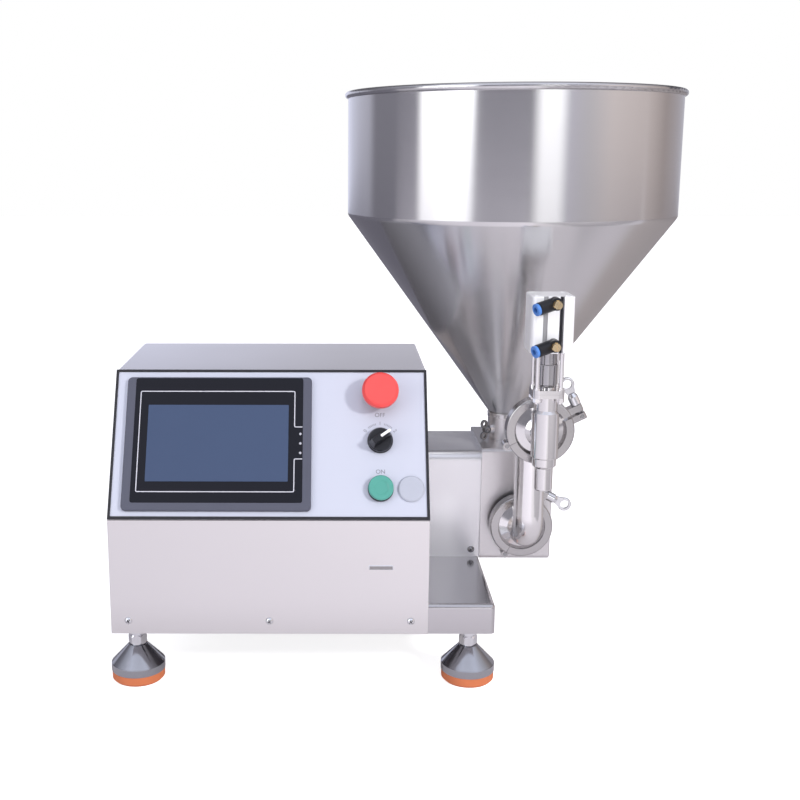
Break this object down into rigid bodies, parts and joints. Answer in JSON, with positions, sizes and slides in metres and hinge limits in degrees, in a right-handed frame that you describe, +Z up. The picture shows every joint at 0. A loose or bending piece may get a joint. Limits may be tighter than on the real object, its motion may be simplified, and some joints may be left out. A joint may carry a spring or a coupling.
{
  "type": "donut filler machine",
  "caption": "Countertop lobe-pump filler: sloping control console, tall conical hopper, discharge pipe and an air-operated downward filling valve",
  "frame": {"origin": "centre of the bounding box in plan, at the underside of the feet", "axes": "+X to the right as the operator faces the panel, +Y away from the operator, +Z up"},
  "size_m": [0.6548, 0.4416, 0.6518],
  "materials": {
    "aluminium": "clear anodised aluminium",
    "black_plastic": "black moulded plastic",
    "black_rubber": "black rubber",
    "blue_plastic": "blue moulded plastic",
    "brass": "turned brass",
    "cast_case": "plain casting",
    "console_steel": "fine brushed stainless sheet",
    "green_plastic": "green moulded plastic",
    "grey_plastic": "grey moulded plastic",
    "hopper_steel": "spun stainless steel with a circular grain",
    "machine_steel": "ground tool steel",
    "motor_paint": "black painted aluminium",
    "pad_rubber": "orange-brown rubber",
    "polished_steel": "satin polished stainless steel",
    "red_plastic": "red moulded plastic",
    "screen_black": "glossy black overlay",
    "white_rubber": "white food-grade silicone",
    "zinc_steel": "bright zinc-plated steel"
  },
  "bodies": {
    "machine": {"actuator_body": "aluminium", "actuator_cap": "aluminium", "base_tray": "console_steel", "blanking_plug": "grey_plastic", "bonnet": "polished_steel", "cable_gland": "black_plastic", "clamp_bolts": "machine_steel", "contact_blocks": "black_plastic", "control_panel": "console_steel", "cover_bolts": "machine_steel", "device_collars": "black_plastic", "discharge_pipe": "polished_steel", "drive_housing": "console_steel", "enclosure_shell": "console_steel", "filling_nozzle": "polished_steel", "foot_bases": "polished_steel", "foot_pads": "pad_rubber", "foot_weld_nuts": "zinc_steel", "gear_case": "cast_case", "hmi_housing": "grey_plastic", "hmi_screen": "screen_black", "hopper": "hopper_steel", "housing_screws": "machine_steel", "lower_front_panel": "console_steel", "panel_gasket": "black_rubber", "panel_screws": "zinc_steel", "pipe_clamps": "polished_steel", "planetary_gearbox": "machine_steel", "power_supply": "aluminium", "product_seals": "white_rubber", "pump_body": "polished_steel", "pump_cover": "polished_steel", "pump_plate": "polished_steel", "rear_panel": "console_steel", "release_collars": "blue_plastic", "servo_motor": "motor_paint", "shaft_bearings": "machine_steel", "solenoid_valve": "aluminium", "speed_fittings": "black_plastic", "tie_rods": "polished_steel", "valve_body": "polished_steel"},
    "stop_stem": {"estop_stem": "black_plastic"},
    "stop_head": {"estop_head": "red_plastic"},
    "selector": {"selector_knob": "black_plastic"},
    "start_cap": {"start_button": "green_plastic"},
    "drive_train": {"drive_shaft": "machine_steel", "drive_rotor": "polished_steel"},
    "idler_train": {"idler_shaft": "machine_steel", "idler_rotor": "polished_steel"},
    "valve_spindle": {"valve_stem": "polished_steel", "piston": "machine_steel"},
    "lower_wing": {"lower_wing_nut": "zinc_steel"},
    "upper_wing": {"upper_wing_nut": "zinc_steel"},
    "neck_wing": {"neck_wing_screw": "zinc_steel"},
    "lower_air_screw": {"lower_needle": "brass"},
    "upper_air_screw": {"upper_needle": "brass"},
    "levelling_stud_1": {"foot_stud_1": "zinc_steel"},
    "levelling_stud_2": {"foot_stud_2": "zinc_steel"},
    "levelling_stud_3": {"foot_stud_3": "zinc_steel"},
    "levelling_stud_4": {"foot_stud_4": "zinc_steel"}
  },
  "joints": [
    {"name": "stop_push", "type": "slide", "parent": "machine", "child": "stop_stem", "axis": [0, 0.8708, -0.4917], "range_m": [0, 0.006], "stiffness_N_per_m": 400, "springref_m": -0.004},
    {"name": "stop_twist_release", "type": "hinge", "parent": "stop_stem", "child": "stop_head", "pos_m": [-0.0259, -0.12532, 0.32745], "axis": [0, 0.8708, -0.4917], "range_deg": [0, 45]},
    {"name": "selector_turn", "type": "hinge", "parent": "machine", "child": "selector", "pos_m": [-0.0259, -0.14193, 0.27768], "axis": [0, -0.8708, 0.4917], "range_deg": [0, 110]},
    {"name": "start_press", "type": "slide", "parent": "machine", "child": "start_cap", "axis": [0, 0.8708, -0.4917], "range_m": [0, 0.0025], "stiffness_N_per_m": 600, "springref_m": -0.001},
    {"name": "pump_drive", "type": "hinge", "parent": "machine", "child": "drive_train", "pos_m": [0.1206, 0.007, 0.191], "axis": [1, 0, 0], "continuous": true},
    {"name": "pump_idler", "type": "hinge", "parent": "machine", "child": "idler_train", "pos_m": [0.1206, 0.043, 0.191], "axis": [1, 0, 0], "continuous": true},
    {"name": "valve_lift", "type": "slide", "parent": "machine", "child": "valve_spindle", "axis": [0, 0, 1], "range_m": [0, 0.014]},
    {"name": "lower_wing_nut_turn", "type": "hinge", "parent": "machine", "child": "lower_wing", "pos_m": [0.16752, -0.048, 0.18923], "axis": [0.8829, 0, -0.4695], "continuous": true},
    {"name": "upper_wing_nut_turn", "type": "hinge", "parent": "machine", "child": "upper_wing", "pos_m": [0.18757, -0.144, 0.30947], "axis": [-0.4384, 0, 0.8988], "continuous": true},
    {"name": "neck_screw_turn", "type": "hinge", "parent": "machine", "child": "neck_wing", "pos_m": [0.10839, 0.00934, 0.2502], "axis": [-0.829, -0.5592, 0], "continuous": true},
    {"name": "lower_air_screw_turn", "type": "hinge", "parent": "machine", "child": "lower_air_screw", "pos_m": [0.1456, -0.214, 0.392], "axis": [0, -1, 0], "range_deg": [0, 720]},
    {"name": "upper_air_screw_turn", "type": "hinge", "parent": "machine", "child": "upper_air_screw", "pos_m": [0.1456, -0.214, 0.4345], "axis": [0, -1, 0], "range_deg": [0, 720]},
    {"name": "levelling_stud_1_turn", "type": "hinge", "parent": "machine", "child": "levelling_stud_1", "pos_m": [-0.2974, -0.143, 0.042], "axis": [0, 0, 1], "continuous": true},
    {"name": "levelling_stud_2_turn", "type": "hinge", "parent": "machine", "child": "levelling_stud_2", "pos_m": [-0.2974, 0.051, 0.042], "axis": [0, 0, 1], "continuous": true},
    {"name": "levelling_stud_3_turn", "type": "hinge", "parent": "machine", "child": "levelling_stud_3", "pos_m": [0.0746, -0.143, 0.042], "axis": [0, 0, 1], "continuous": true},
    {"name": "levelling_stud_4_turn", "type": "hinge", "parent": "machine", "child": "levelling_stud_4", "pos_m": [0.0746, 0.051, 0.042], "axis": [0, 0, 1], "continuous": true}
  ],
  "couplings": [
    {"joint": "pump_idler", "follows": "pump_drive", "ratio": -1}
  ]
}
